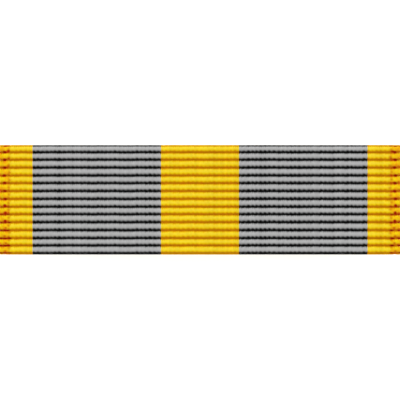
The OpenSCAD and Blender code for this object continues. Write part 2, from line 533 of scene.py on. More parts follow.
def binding_marks(rng, marks, first, last):
    """Where the binding thread at each woven edge dips into the grooves and shows on the ribs.

    A row holds the side, the distance from the edge, the run, two spreads and how strong pit and knot are."""
    rows = []
    for side in (-1, 1):
        for m in range(1, len(marks) - 1):
            down = ramp(m, first, last)
            looped = down > LOOP_FROM
            drawn = (
                (PIT, 1.0 if down < PIT_TO else 0, 0),
                (HIGH_PIT, 1.0 if PIT_TO <= down <= LOOP_FROM else 0, 0),
                (LINK, np.interp(down, (0, LINK_TO), (LINK_STRENGTH, 0)), 0),
                (RIM, np.interp(down, LINE, RIM_STRENGTHS), 0),
                (MIDDLE, ramp(down, *LINE) if side < 0 or not looped else BESIDE_LOOP, 0),
                (ROOT, np.interp(down, LINE, ROOT_STRENGTHS), 0),
                (LOOP, *(LOOP_STRENGTHS if looped else (0, 0))),
            )
            for (edge, shift, across, along), pit, knot in drawn:
                jitter = rng.uniform(-1, 1, 2)
                if pit or knot:
                    place = edge * (1 + MARK_JITTER[0] * jitter[0])
                    run = marks[m] + shift + MARK_JITTER[1] * jitter[1]
                    rows.append((side, place, run, across, along, pit, knot))
        edge, _, across, along = KNOT
        run = marks[first] + KNOT_START
        while run < marks[last]:
            jitter = rng.uniform(-1, 1, 3)
            place = edge + KNOT_JITTER[0] * jitter[0]
            strength = KNOT_STRENGTH[0] + KNOT_STRENGTH[1] * jitter[2]
            rows.append((side, place, run + KNOT_JITTER[1] * jitter[1], across, along, 0, strength))
            run += KNOT_PITCH
    return np.array(rows)


def groove_teeth(rng, columns, threads):
    """How slack each thread is, and how threads fray the painted shade of a groove: towards the rib after it,
    in beads before it.

    Both kinds of teeth are high where they widen the groove, and are the same at every rib."""
    number = np.arange(columns)
    slack = rng.uniform(0.0, 1.0, threads + 2)[number // 2]
    after = np.where(number % 2 == 0, THREAD_TEETH, -THREAD_TEETH) + SLACK_TEETH * (slack - 0.5)
    drift = smooth_noise(rng, columns, 1.0, BEAD_DRIFT_COLUMNS)
    beads = (number + BEAD_COLUMNS // 2) // BEAD_COLUMNS
    strength = rng.uniform(*BEAD_STRENGTHS, columns // BEAD_COLUMNS + 3)[beads]
    bead = 0.5 + 0.5 * np.cos(2 * math.pi * (number / BEAD_COLUMNS + BEAD_DRIFT * drift))
    before = BEAD_TEETH * bead * strength + BEAD_LEVEL
    return slack, after, before


def weave(sizes, rng, x, marks, first, last):
    """Runs, depths, painted shades, rib numbers and dips of all rows of mesh round the wrap, one for each
    column.
    """
    columns = len(x)
    step = x[1] - x[0]
    relief = sizes.relief / MM
    gap = np.where(np.arange(columns) % 2 == 0, 1.0, 0.0)
    folds = {0: CUT_END, len(marks) - 1: CUT_END, first: TOP_FOLD, last: BOTTOM_FOLD}
    for m in (LIP_RIBS, LIP_RIBS + BACK_RIBS):
        folds[m] = folds[len(marks) - 1 - m] = BACK_FOLD

    slack, after, before = groove_teeth(rng, columns, sizes.threads)
    common = smooth_noise(rng, columns, step, WAVER_PERIOD)
    runs, depths, shades, ribs, dips = [], [], [], [], []
    for r in range(len(marks) - 1):
        pitch = marks[r + 1] - marks[r]
        own = smooth_noise(rng, columns, step, OWN_PERIOD)
        proud = {first - 1: TOP_PROUD, last: BOTTOM_PROUD}.get(r, 0.0)
        for phase, shade, after_share, before_share in FRONT_ROWS if first <= r < last else BACK_ROWS:
            depth_share, shade_share = folds.get(r if phase < 0.5 else r + 1, (1.0, 1.0))
            dip = rib_dip(phase, pitch, relief)
            waver = sizes.waver / MM * dip * depth_share * (COMMON_WAVER * common + OWN_WAVER * own)
            gaps = (gap + SLACK_GAP * slack) * (CREST_GAP + (1 - CREST_GAP) * dip)
            gaps *= min(1.0, depth_share * 2)
            teeth = after_share * after + before_share * before
            # The rib just under the front's lower edge is painted dark, as shade
            if r == last and 0 < phase < 0.5:
                shade = UNDER_EDGE_SHADE
            runs.append(np.clip(marks[r] + pitch * phase + waver, 0, marks[-1]))
            depths.append(relief * dip * depth_share + sizes.thread_relief / MM * gaps - proud * (1 - dip))
            shades.append(np.clip((shade + teeth) * shade_share, 0, 1))
            ribs.append(np.full(columns, r + phase))
            dips.append(np.full(columns, dip))
    runs.append(np.full(columns, marks[-1]))
    depths.append(np.zeros(columns))
    shades.append(np.full(columns, CUT_END[1]))
    ribs.append(np.full(columns, len(marks) - 1.0))
    dips.append(np.ones(columns))
    return [np.array(rows) for rows in (runs, depths, shades, ribs, dips)]


def bind_edges(rng, x, runs, marks, first, last):
    """How deep the binding thread's pits and knots are pulled into both woven edges, from 0 to 1. The pits'
    value also sets how much painted shade they get.
    """
    from_edge = BAR_END - np.abs(x)
    stitch = np.zeros_like(runs)
    knot = np.zeros_like(runs)
    for side, edge, run, across, along, pit_strength, knot_strength in binding_marks(rng, marks, first, last):
        near = (np.sign(x) == side) & (from_edge < BINDING_REACH)
        away = ((from_edge - edge) / across) ** 2 + ((runs - run) / along) ** 2
        bell = np.where(near, np.exp(-away / 2), 0)
        stitch = np.maximum(stitch, pit_strength * bell)
        knot = np.maximum(knot, knot_strength * bell)
    return stitch, knot


def lay_on_wrap(x, runs, depths):
    """Points at places along the bar and runs along the wrap, each so deep below the crests' surface."""
    fine = np.linspace(0, runs.max(), WRAP_SAMPLES)
    table = np.array([wrap_point(run) for run in fine]).T
    y, z, ny, nz = (np.interp(runs, fine, row) for row in table)
    return np.stack([x, y - ny * depths, z - nz * depths], axis=-1)


def close_woven_end(outer, rings, inner, ring_runs, inner_runs, sign):
    """Faces over one woven end, from the outer side over the rings to the inner side, and over both lips."""
    faces = []
    for before, ring in zip([outer, *rings], rings):
        faces += zip(before, before[1:], ring[1:], ring)
    faces += bridge(rings[-1], ring_runs, inner, inner_runs)
    upper_cut, lower_cut = ([chain[end] for chain in (outer, *rings, inner)] for end in (0, -1))
    faces += [upper_cut, lower_cut[::-1]]
    return [face[::sign] for face in faces]


def turn_down_ends(x, depths):
    """Turns the outermost columns down over the woven edges."""
    for column, (away, drop) in enumerate(END_COLUMNS):
        for number, sign in ((column, -1), (-1 - column, 1)):
            x[:, number] = sign * (BAR_END - away)
            depths[:, number] += drop


def inner_side(x, inside):
    """The ribbon's inner side, the other way round than the outer one, at the same places along the bar."""
    inner = np.zeros((len(inside), len(x), 3))
    inner[:, :, 0] = x
    inner[:, :, 1:] = inside[::-1, None]
    return inner


def tube_faces(index):
    """Faces between the rows of a grid of point numbers, whose last row joins its first."""
    here, beside = index[:, :-1], index[:, 1:]
    quads = np.stack([here, np.roll(here, -1, 0), np.roll(beside, -1, 0), beside], axis=-1)
    return quads.reshape(-1, 4).tolist()


def end_ring(rim, target, dips, share, away, sign):
    """Points over a woven end, a share of the way in from its rim, which stand out a little at each cord."""
    ring = np.empty_like(rim)
    ring[:, 0] = sign * (BAR_END - away - CORD_END * dips * (1 - share))
    ring[:, 1:] = rim[:, 1:] + (target - rim[:, 1:]) * share
    return ring


def ribbon_mesh(sizes):
    """The ribbon as one closed woven sheet, with attributes for its grooves and for its bound edges."""
    rng = np.random.default_rng(SEED)
    columns = 2 * sizes.threads + 1
    x = np.linspace(-BAR_END, BAR_END, columns)
    marks, first, last = rib_marks()
    runs, depths, groove, rib, dips = weave(sizes, rng, x, marks, first, last)
    outer_rows = len(runs)
    x = np.tile(x, (outer_rows, 1))
    stitch, knot = bind_edges(rng, x, runs, marks, first, last)
    depths += PIT_DEPTH * stitch + KNOT_DEPTH * knot
    turn_down_ends(x, depths)

    # The outer and the inner side make one tube
    outer = lay_on_wrap(x, runs, depths)
    inside = inner_path()
    inside_runs = along_chain(inside)
    inner = inner_side(outer[0, :, 0], inside)
    grid = np.concatenate([outer, inner])
    index = np.arange(grid[..., 0].size).reshape(-1, columns)
    faces = tube_faces(index)
    points = [grid.reshape(-1, 3)]
    inner_rib = (len(marks) - 1) * inside_runs[::-1] / inside_runs[-1]
    blank = np.zeros(inner.shape[:2])
    layers = {
        "groove": [groove.ravel(), (blank + INSIDE_SHADE).ravel()],
        "stitch": [stitch.ravel(), blank.ravel()],
        "knot": [knot.ravel(), blank.ravel()],
        "rib": [rib.ravel(), np.repeat(inner_rib, columns)],
    }

    # Woven ends: rings of points between the outer and the inner side close the tube
    for column, sign in ((0, -1), (columns - 1, 1)):
        rim = outer[:, column]
        target, target_runs = nearest_on_chain(rim[:, 1:], inside)
        rings = []
        for share, away in END_RINGS:
            first_number = sum(map(len, points))
            rings.append(list(range(first_number, first_number + outer_rows)))
            points.append(end_ring(rim, target, dips[:, column], share, away, sign))
            # An end is painted darker between its cords, as shade, fading towards the inner side
            layers["groove"].append(dips[:, column] * (1 - share) * END_SHADE + INSIDE_SHADE / 2 * share)
            layers["stitch"].append(stitch[:, column] * (1 - share))
            layers["knot"].append(np.zeros(outer_rows))
            layers["rib"].append(rib[:, column])
        outer_column = index[:outer_rows, column].tolist()
        inner_column = index[outer_rows:, column][::-1].tolist()
        faces += close_woven_end(outer_column, rings, inner_column, target_runs, inside_runs, sign)

    verts = np.concatenate(points)
    verts[:, 2] += BAR_BACK
    mesh = bpy.data.meshes.new("ribbon")
    mesh.from_pydata((verts * MM).tolist(), [], faces)
    for name, values in layers.items():
        write_layer(mesh, name, np.concatenate(values))
    mesh.shade_smooth()
    mesh.validate()
    mesh.update()
    return mesh


def stripe_colours(tree, look, out, groove):
    """Two dyes in five stripes, and a warmer strip along each bound edge, each from its crest colour to a
    painted groove shade.

    Gives the colour and how far the bound edge has taken over."""
    # The yellow is painted palest on a rib's crest, a painted sheen where light glances off the threads, and
    # purest on its flanks
    flank = add_node(tree, "ShaderNodeMapRange", SOFT, {"Value": groove, "From Min": 0.02, "From Max": 0.25})
    yellow_rib = add_node(
        tree, "ShaderNodeMix", COLOURS, {"Factor": flank, "A": look.yellow_crest, "B": look.yellow_flank}
    )
    yellow, grey, edge = (
        add_node(tree, "ShaderNodeMix", COLOURS, {"Factor": groove, "A": crest, "B": trough})
        for crest, trough in (
            (yellow_rib, look.yellow_groove_shade),
            (look.grey_crest, look.grey_groove_shade),
            (look.edge_crest, look.edge_groove_shade),
        )
    )
    past, before = (
        add_node(tree, "ShaderNodeMath", {"operation": side}, {0: out, 1: line * MM})
        for side, line in (("GREATER_THAN", MIDDLE_STRIPE_HALF), ("LESS_THAN", EDGE_STRIPE_START))
    )
    is_grey = add_node(tree, "ShaderNodeMath", {"operation": "MULTIPLY"}, {0: past, 1: before})
    binding_start = BAR_END - BINDING_WIDTH
    at_edge = add_node(
        tree,
        "ShaderNodeMapRange",
        SOFT,
        {
            "Value": out,
            "From Min": (binding_start - BINDING_SOFTNESS) * MM,
            "From Max": (binding_start + BINDING_SOFTNESS) * MM,
        },
    )
    edged = add_node(tree, "ShaderNodeMix", COLOURS, {"Factor": at_edge, "A": yellow, "B": edge})
    striped = add_node(tree, "ShaderNodeMix", COLOURS, {"Factor": is_grey, "A": edged, "B": grey})
    return striped, at_edge


def uneven_dye(tree, place, colour, at_edge):
    """The yellow dye took unevenly, most in the bound edge, which runs from orange to a greenish yellow."""
    patches = add_node(tree, "ShaderNodeTexNoise", inputs={"Vector": place, "Scale": 1 / (DYE_PATCH * MM)})
    spread = add_node(
        tree, "ShaderNodeMapRange", inputs={"Value": at_edge, "To Min": 0.025, "To Max": 0.14}
    )
    hue = add_node(tree, "ShaderNodeMath", {"operation": "MULTIPLY"}, {0: patches, 1: spread})
    centre = add_node(tree, "ShaderNodeMath", {"operation": "MULTIPLY_ADD"}, {0: spread, 1: -0.5, 2: hue})
    shift = add_node(tree, "ShaderNodeMath", {"operation": "ADD"}, {0: centre, 1: 0.5})
    return add_node(tree, "ShaderNodeHueSaturation", inputs={"Color": colour, "Hue": shift})


def binding_thread(tree, look, colour):
    """The binding thread's orange knots, and the deep red painted shade in the pits that it pulls."""
    knot = add_node(tree, "ShaderNodeAttribute", {"attribute_name": "knot"}).outputs["Fac"]
    stitch = add_node(tree, "ShaderNodeAttribute", {"attribute_name": "stitch"}).outputs["Fac"]
    knotted = add_node(tree, "ShaderNodeMix", COLOURS, {"Factor": knot, "A": colour, "B": look.knot})
    pit = add_node(tree, "ShaderNodeMapRange", SOFT, {"Value": stitch, "From Min": 0.08, "From Max": 0.75})
    return add_node(tree, "ShaderNodeMix", COLOURS, {"Factor": pit, "A": knotted, "B": look.pit})


def thread_shades(tree, look, place, x, colour):
    """Each warp thread is a shade of its own, and the cloth is a little mottled from wear."""
    thread = add_node(
        tree,
        "ShaderNodeMath",
        {"operation": "MULTIPLY_ADD"},
        {0: x, 1: look.threads / (BAR_LENGTH * MM), 2: look.threads / 2},
    )
    number = add_node(tree, "ShaderNodeMath", {"operation": "FLOOR"}, {0: thread})
    chance = add_node(tree, "ShaderNodeTexWhiteNoise", {"noise_dimensions": "1D"}, {"W": number})
    streak = add_node(
        tree, "ShaderNodeMapRange", inputs={"Value": chance, "To Min": 0.945, "To Max": 1.055}
    )
    cloud = add_node(
        tree, "ShaderNodeTexNoise", inputs={"Vector": place, "Scale": 1 / (WEAR_SPOT * MM), "Detail": 3.0}
    )
    mottle = add_node(
        tree,
        "ShaderNodeMapRange",
        inputs={"Value": cloud, "From Min": 0.3, "From Max": 0.7, "To Min": 0.96, "To Max": 1.04},
    )
    tone = add_node(tree, "ShaderNodeMath", {"operation": "MULTIPLY"}, {0: streak, 1: mottle})
    return add_node(
        tree, "ShaderNodeVectorMath", {"operation": "SCALE"}, {"Vector": colour, "Scale": tone}
    )


def filament_bump(tree, x):
    """Fine filaments that run along each thread."""
    rib = add_node(tree, "ShaderNodeAttribute", {"attribute_name": "rib"}).outputs["Fac"]
    along = add_node(tree, "ShaderNodeCombineXYZ", inputs={"X": x, "Y": rib})
    stretched = add_node(
        tree, "ShaderNodeMapping", inputs={"Vector": along, "Scale": (1 / (FILAMENT * MM), 2.0, 1.0)}
    )
    filament = add_node(
        tree, "ShaderNodeTexNoise", inputs={"Vector": stretched, "Scale": 1.0, "Detail": 2.0}
    )
    return add_node(
        tree,
        "ShaderNodeBump",
        inputs={"Height": filament, "Strength": 0.35, "Distance": FILAMENT_DEPTH * MM},
    )


def ribbon_material(look):
    """Rayon threads woven over thick weft cords: satin on the crests and dull in the grooves, which are
    painted dark as shade.
    """
    material, tree = new_material("rayon_rib_woven")
    place = add_node(tree, "ShaderNodeTexCoord").outputs["Object"]
    x = add_node(tree, "ShaderNodeSeparateXYZ", inputs={"Vector": place}).outputs["X"]
    out = add_node(tree, "ShaderNodeMath", {"operation": "ABSOLUTE"}, {0: x})
    groove = add_node(tree, "ShaderNodeAttribute", {"attribute_name": "groove"}).outputs["Fac"]
    striped, at_edge = stripe_colours(tree, look, out, groove)
    dyed = uneven_dye(tree, place, striped, at_edge)
    stitched = binding_thread(tree, look, dyed)
    shaded = thread_shades(tree, look, place, x, stitched)
    roughness = add_node(
        tree, "ShaderNodeMapRange", inputs={"Value": groove, "To Min": 0.62, "To Max": 0.9}
    )
    shader = add_node(
        tree,
        "ShaderNodeBsdfPrincipled",
        inputs={
            "Base Color": shaded,
            "Roughness": roughness,
            "Specular IOR Level": 0.05,
            "Normal": filament_bump(tree, x),
        },
    )
    add_node(tree, "ShaderNodeOutputMaterial", inputs={"Surface": shader})
    return material


class RibbonSettings(bpy.types.PropertyGroup):
    """Ribbon"""

    threads: IntProperty(
        name="Warp threads",
        description="Warp threads across the ribbon's width",
        default=187,
        min=60,
        max=190,
    )
    relief: length_property("Rib relief", "Depth of the groove between two ribs", 0.24)
    thread_relief: length_property("Thread relief", "Depth between two warp threads", 0.022)
    waver: length_property("Waver", "How far a groove wanders off its line", 0.02)
    # Colours of a rib: the crest holds a painted sheen, and the groove colours are painted shade
    yellow_crest: colour_property("Yellow", "Yellow stripes, on the crest of a rib", "#E9CD2C")
    yellow_flank: colour_property("Yellow flank", "Yellow stripes, on the flanks of a rib", "#E9CD00")
    yellow_groove_shade: colour_property("Yellow groove", "Yellow stripes, in a groove", "#C98503")
    grey_crest: colour_property("Grey", "Grey stripes, on a rib", "#ACACAC")
    grey_groove_shade: colour_property("Grey groove", "Grey stripes, in a groove", "#040404")
    edge_crest: colour_property("Bound edge", "Bound edge, on a rib", "#E9BE08")
    edge_groove_shade: colour_property("Bound edge groove", "Bound edge, in a groove", "#CA7206")
    knot: colour_property("Knot", "Knots of the binding thread", "#CC7600")
    # Painted shade in the binding thread's pits
    pit: colour_property("Pit", "Pits of the binding thread", "#A81E04")


class RIBBONBAR_OT_weave_ribbon(bpy.types.Operator):
    """Weaves the ribbon round the channel"""

    bl_idname = "ribbonbar.weave_ribbon"
    bl_label = "Weave Ribbon"

    def execute(self, context):
        settings = context.scene.ribbon_bar_ribbon
        piece = bpy.data.objects.new("ribbon_weave", ribbon_mesh(settings))
        context.collection.objects.link(piece)
        piece.data.materials.append(ribbon_material(settings))
        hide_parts("ribbon")
        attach(piece, BODY)
        marks, _, _ = rib_marks()
        return {"FINISHED"}


def tarnished_brass(tree, look, place, worn):
    """Tarnish in soft patches, broken up by fine specks, and more of it where nothing rubs.

    Gives the colour and how tarnished it is."""
    patches = add_node(
        tree,
        "ShaderNodeTexNoise",
        inputs={"Vector": place, "Scale": 1 / (TARNISH_PATCH * MM), "Detail": 6.0, "Roughness": 0.65},
    )
    patchy = add_node(
        tree,
        "ShaderNodeMapRange",
        inputs={"Value": patches, "From Min": 0.35, "From Max": 0.7, "To Min": 0.0, "To Max": 0.55},
    )
    hidden = add_node(
        tree,
        "ShaderNodeMapRange",
        inputs={"Value": worn, "From Min": 0.0, "From Max": 0.5, "To Min": 0.5, "To Max": 0.0},
    )
    tarnish = add_node(
        tree, "ShaderNodeMath", {"operation": "ADD", "use_clamp": True}, {0: patchy, 1: hidden}
    )
    aged = add_node(tree, "ShaderNodeMix", COLOURS, {"Factor": tarnish, "A": look.brass, "B": look.tarnish})
    rubbed = add_node(
        tree,
        "ShaderNodeMapRange",
        inputs={"Value": worn, "From Min": 0.5, "From Max": 1.0, "To Min": 0.0, "To Max": 0.8},
    )
    colour = add_node(tree, "ShaderNodeMix", COLOURS, {"Factor": rubbed, "A": aged, "B": look.rubbed})
    return colour, tarnish


def sheet_relief(tree, place, strokes, waviness):
    """The marks of rolling or polishing, on a sheet that is a little uneven."""
    scored = add_node(
        tree, "ShaderNodeBump", inputs={"Height": strokes, "Strength": 0.3, "Distance": STROKE_DEPTH * MM}
    )
    dents = add_node(
        tree, "ShaderNodeTexNoise", inputs={"Vector": place, "Scale": 1 / (DENT * MM), "Detail": 1.0}
    )
    return add_node(
        tree,
        "ShaderNodeBump",
        inputs={"Height": dents, "Strength": 0.6, "Distance": waviness * MM, "Normal": scored},
    )


def brass_material(name, look, wear, stroke, roughness, waviness):
    """Brass whose tarnish gathers where wear is 0 and which is rubbed bright where it is 1.

    wear takes the tree and its Object coordinates and gives the node or socket that says so. The stroke is
    the length and the width of the marks that rolling or polishing left, the roughness is its least and its
    most, and the waviness is the height of the sheet's unevenness."""
    material, tree = new_material(name)
    place = add_node(tree, "ShaderNodeTexCoord").outputs["Object"]
    colour, tarnish = tarnished_brass(tree, look, place, wear(tree, place))

    # Fine strokes, long one way and narrow the other, in the gloss and in the relief
    length, width = stroke
    scale = (1 / (length * MM), 1 / (width * MM), 1 / (width * MM))
    stretched = add_node(tree, "ShaderNodeMapping", inputs={"Vector": place, "Scale": scale})
    strokes = add_node(
        tree, "ShaderNodeTexNoise", inputs={"Vector": stretched, "Scale": 1.0, "Detail": 3.0}
    )
    dull = add_node(
        tree, "ShaderNodeMath", {"operation": "MULTIPLY_ADD"}, {0: tarnish, 1: 0.22, 2: strokes}
    )
    least, most = roughness
    gloss = add_node(
        tree,
        "ShaderNodeMapRange",
        inputs={"Value": dull, "From Min": 0.3, "From Max": 0.9, "To Min": least, "To Max": most},
    )
    relief = sheet_relief(tree, place, strokes, waviness)
    shader = add_node(
        tree,
        "ShaderNodeBsdfPrincipled",
        inputs={"Base Color": colour, "Metallic": 1.0, "Roughness": gloss, "Normal": relief},
    )
    add_node(tree, "ShaderNodeOutputMaterial", inputs={"Surface": shader})
    return material


def channel_wear(tree, place):
    """The channel's two cut ends are rubbed, and the rest has dulled under the ribbon."""
    x = add_node(tree, "ShaderNodeSeparateXYZ", inputs={"Vector": place}).outputs["X"]
    out = add_node(tree, "ShaderNodeMath", {"operation": "ABSOLUTE"}, {0: x})
    return add_node(
        tree,
        "ShaderNodeMapRange",
        SOFT,
        {
            "Value": out,
            "From Min": (CHANNEL_END - END_WEAR) * MM,
            "From Max": CHANNEL_END * MM,
            "To Min": 0.3,
            "To Max": 1.0,
        },
    )


def post_wear(tree, place):
    """A dull ring round each soldered post, and posts that the clutches have rubbed bright."""
    axes = add_node(tree, "ShaderNodeSeparateXYZ", inputs={"Vector": place})
    out = add_node(tree, "ShaderNodeMath", {"operation": "ABSOLUTE"}, {0: axes.outputs["X"]})
    along = add_node(tree, "ShaderNodeMath", {"operation": "ADD"}, {0: out, 1: CLUTCH_MIDDLE * MM})
    flat = add_node(tree, "ShaderNodeCombineXYZ", inputs={"X": along, "Y": axes.outputs["Y"]})
    away = add_node(tree, "ShaderNodeVectorMath", {"operation": "LENGTH"}, {"Vector": flat})
    inner, outer = SOLDER_RING
    ring = add_node(
        tree,
        "ShaderNodeMapRange",
        SOFT,
        {"Value": away, "From Min": inner * MM, "From Max": outer * MM, "To Min": 0.05, "To Max": 0.6},
    )
    below = add_node(
        tree,
        "ShaderNodeMapRange",
        SOFT,
        {
            "Value": axes.outputs["Z"],
            "From Min": BAR_BACK * MM,
            "From Max": (BAR_BACK + POST_TOP) * MM,
            "To Min": 0.85,
            "To Max": 0.0,
        },
    )
    return add_node(tree, "ShaderNodeMath", {"operation": "MAXIMUM"}, {0: ring, 1: below})


def handled_wear(tree, place):
    """How rubbed a clutch is, as its mesh says."""
    return add_node(tree, "ShaderNodeAttribute", {"attribute_name": "handled"}).outputs["Fac"]


class BrassSettings(bpy.types.PropertyGroup):
    """Brass"""

    brass: colour_property("Brass", "Clean brass", "#D0A64E")
    tarnish: colour_property("Tarnish", "Brass where it has tarnished", "#8A6A34")
    rubbed: colour_property("Rubbed brass", "Brass where it is rubbed", "#E8C878")


class RIBBONBAR_OT_finish_channel(bpy.types.Operator):
    """Finishes the brass channel"""

    bl_idname = "ribbonbar.finish_channel"
    bl_label = "Finish Channel"

    def execute(self, context):
        # Rolled strip, bent cold: long rolling lines along the bar in a half-bright sheet
        look = context.scene.ribbon_bar_brass
        material = brass_material(
            "brass_rolled_and_bent",
            look,
            channel_wear,
            stroke=(1.6, 0.05),
            roughness=(0.24, 0.48),
            waviness=0.012,
        )
        bpy.data.objects["carrier"].material_slots[0].material = material
        return {"FINISHED"}


class RIBBONBAR_OT_finish_mounting_bar(bpy.types.Operator):
    """Finishes the flat bar and its posts"""

    bl_idname = "ribbonbar.finish_mounting_bar"
    bl_label = "Finish Mounting Bar"

    def execute(self, context):
        # Rolled strip too, which the heat of soldering has left duller round each post
        look = context.scene.ribbon_bar_brass
        material = brass_material(
            "brass_rolled_and_soldered",
            look,
            post_wear,
            stroke=(1.2, 0.05),
            roughness=(0.22, 0.52),
            waviness=0.01,
        )
        bpy.data.objects["mounting_bar"].material_slots[0].material = material
        return {"FINISHED"}


class ClutchSettings(bpy.types.PropertyGroup):
    """Clutches"""

    facets: IntProperty(
        name="Facets",
        description="Facets round a clutch",
        default=96,
        min=24,
        max=192,
    )
    bump_rise: length_property("Bump rise", "Height of the bumps on the flange", 0.07)
    sheet: length_property("Strip thickness", "Thickness of the winged strip", 0.5)
    edge_round: length_property("Edge rounding", "Rounding of the strip's edges", 0.09)


def select_points(mesh, wanted):
    """Selects just the vertices whose places pass a test, and stays in edit mode."""
    bpy.ops.mesh.select_all(action="DESELECT")
    bpy.ops.object.mode_set(mode="OBJECT")
    for vertex in mesh.vertices:
        vertex.select = wanted(vertex.co)
    bpy.ops.object.mode_set(mode="EDIT")


def turn_clutch_body(settings, middle):
    """The flange, cup and drum as one turned wall: a ring at the post hole, extruded along its section.

    It is left in edit mode."""
    section = rounded(CLUTCH_CORNERS, CLUTCH_TURN, CLUTCH_STEP)
    radius, height = section[0]
    bpy.ops.object.select_all(action="DESELECT")
    bpy.ops.mesh.primitive_circle_add(
        vertices=settings.facets, radius=radius * MM, fill_type="NOTHING", location=(middle, 0, height * MM)
    )
    body = bpy.context.object
    bpy.ops.object.transform_apply()
    bpy.ops.object.mode_set(mode="EDIT")
    bpy.ops.mesh.select_mode(type="VERT")
    bpy.ops.mesh.select_all(action="SELECT")
    for next_radius, next_height in section[1:] + section[:1]:
        grow = next_radius / radius
        rise = (next_height - height) * MM
        bpy.ops.mesh.extrude_edges_move(TRANSFORM_OT_translate={"value": (0, 0, rise)})
        bpy.ops.transform.resize(value=(grow, grow, 1), center_override=(middle, 0, next_height * MM))
        radius, height = next_radius, next_height
    bpy.ops.mesh.select_all(action="SELECT")
    bpy.ops.mesh.remove_doubles(threshold=MERGE_WITHIN * MM)
    bpy.ops.mesh.normals_make_consistent(inside=False)
    return body


def raise_bumps(settings, body, middle):
    """The flange's bumps: a few faces of its flat ring are inset and raised at each. Starts in edit mode."""
    bpy.ops.mesh.select_mode(type="FACE")
    bpy.ops.mesh.select_all(action="DESELECT")
    bpy.ops.object.mode_set(mode="OBJECT")
    apart = 360 / FLANGE_BUMPS
    for face in body.data.polygons:
        x, y = face.center.xy
        on_ring = BUMP_RING[0] < math.hypot(x - middle, y) / MM < BUMP_RING[1]
        turn = (math.degrees(math.atan2(y, x - middle)) + apart / 2) % apart - apart / 2
        face.select = on_ring and face.normal.z > FACING_UP and abs(turn) < BUMP_ANGLE
    bpy.ops.object.mode_set(mode="EDIT")
    bpy.ops.mesh.inset(thickness=BUMP_SLOPE * MM)
    bpy.ops.transform.translate(value=(0, 0, settings.bump_rise))
    bpy.ops.object.mode_set(mode="OBJECT")


def toe_width(from_end):
    """Half the width of a wing near its round toe, at a distance from its end."""
    short = max(0.0, TOE_ROUND - from_end)
    return STRIP_WIDTH / 2 - TOE_ROUND + math.sqrt(TOE_ROUND**2 - short**2)


def extrude_wings(strip, middle):
    """Extrudes both ends of the strip down to the feet and out to their round toes."""
    foot = WING_CORNERS[-1][1]
    wing = rounded(WING_CORNERS, WING_TURN, WING_STEP) + [(WING_REACH - left, foot) for left in TOE_STEPS]
    for side in (-1, 1):
        select_points(strip.data, lambda co: side * (co.x - middle) > (STRIP_HALF - ON_LINE) * MM)
        out, height = wing[0]
        half = STRIP_WIDTH / 2
        for next_out, next_height in wing[1:]:
            move = (side * (next_out - out) * MM, 0, (next_height - height) * MM)
            bpy.ops.mesh.extrude_edges_move(TRANSFORM_OT_translate={"value": move})
            next_half = toe_width(WING_REACH - next_out)
            centre = (middle + side * next_out * MM, 0, next_height * MM)
            bpy.ops.transform.resize(value=(1, next_half / half, 1), center_override=centre)
            out, height, half = next_out, next_height, next_half


def press_flutes(strip, middle):
    """Shallow flutes pressed up along each wing stiffen it."""
    for start, end, half, rise in FLUTES:
        select_points(
            strip.data, lambda co: start * MM < abs(co.x - middle) < end * MM and abs(co.y) < half * MM
        )
        bpy.ops.transform.translate(value=(0, 0, rise * MM))


def thicken_strip(settings, strip):
    """Gives the sheet its thickness and rounds its edges."""
    thicken = strip.modifiers.new("sheet", "SOLIDIFY")
    thicken.thickness = settings.sheet
    thicken.offset = 0
    thicken.use_even_offset = True
    bpy.ops.object.modifier_apply(modifier=thicken.name)
    bevel = strip.modifiers.new("edges", "BEVEL")
    bevel.width = settings.edge_round
    bevel.segments = EDGE_STEPS
    bevel.limit_method = "ANGLE"
    bevel.angle_limit = math.radians(SHARP_EDGE)
    bpy.ops.object.modifier_apply(modifier=bevel.name)


def drill_strip(settings, strip, middle):
    """Takes the post's hole through the strip as well."""
    bpy.ops.object.select_all(action="DESELECT")
    bpy.ops.mesh.primitive_cylinder_add(
        vertices=settings.facets,
        radius=POST_HOLE * MM,
        depth=STRIP_WIDTH * MM,
        location=(middle, 0, STRIP_HEIGHT * MM),
    )
    drill = bpy.context.object
    bpy.ops.object.select_all(action="DESELECT")
    bpy.context.view_layer.objects.active = strip
    strip.select_set(True)
    bore = strip.modifiers.new("bore", "BOOLEAN")
    bore.operation = "DIFFERENCE"
    bore.solver = "EXACT"
    bore.object = drill
    bpy.ops.object.modifier_apply(modifier=bore.name)
    bpy.data.objects.remove(drill)


def bend_clutch_wings(settings, middle):
    """The strip under the drum: a flat middle with its two wings, fluted, thickened and drilled."""
    bpy.ops.object.select_all(action="DESELECT")
    bpy.ops.mesh.primitive_grid_add(
        x_subdivisions=STRIP_GRID[0],
        y_subdivisions=STRIP_GRID[1],
        size=STRIP_WIDTH * MM,
        location=(middle, 0, STRIP_HEIGHT * MM),
    )
    strip = bpy.context.object
    bpy.ops.object.transform_apply()
    bpy.ops.object.mode_set(mode="EDIT")
    bpy.ops.mesh.select_mode(type="VERT")
    bpy.ops.mesh.select_all(action="SELECT")
    squeeze = 2 * STRIP_HALF / STRIP_WIDTH
    bpy.ops.transform.resize(value=(squeeze, 1, 1), center_override=(middle, 0, STRIP_HEIGHT * MM))
    extrude_wings(strip, middle)
    press_flutes(strip, middle)
    bpy.ops.mesh.select_all(action="SELECT")
    bpy.ops.mesh.normals_make_consistent(inside=False)
    bpy.ops.object.mode_set(mode="OBJECT")
    thicken_strip(settings, strip)
    drill_strip(settings, strip, middle)
    return strip


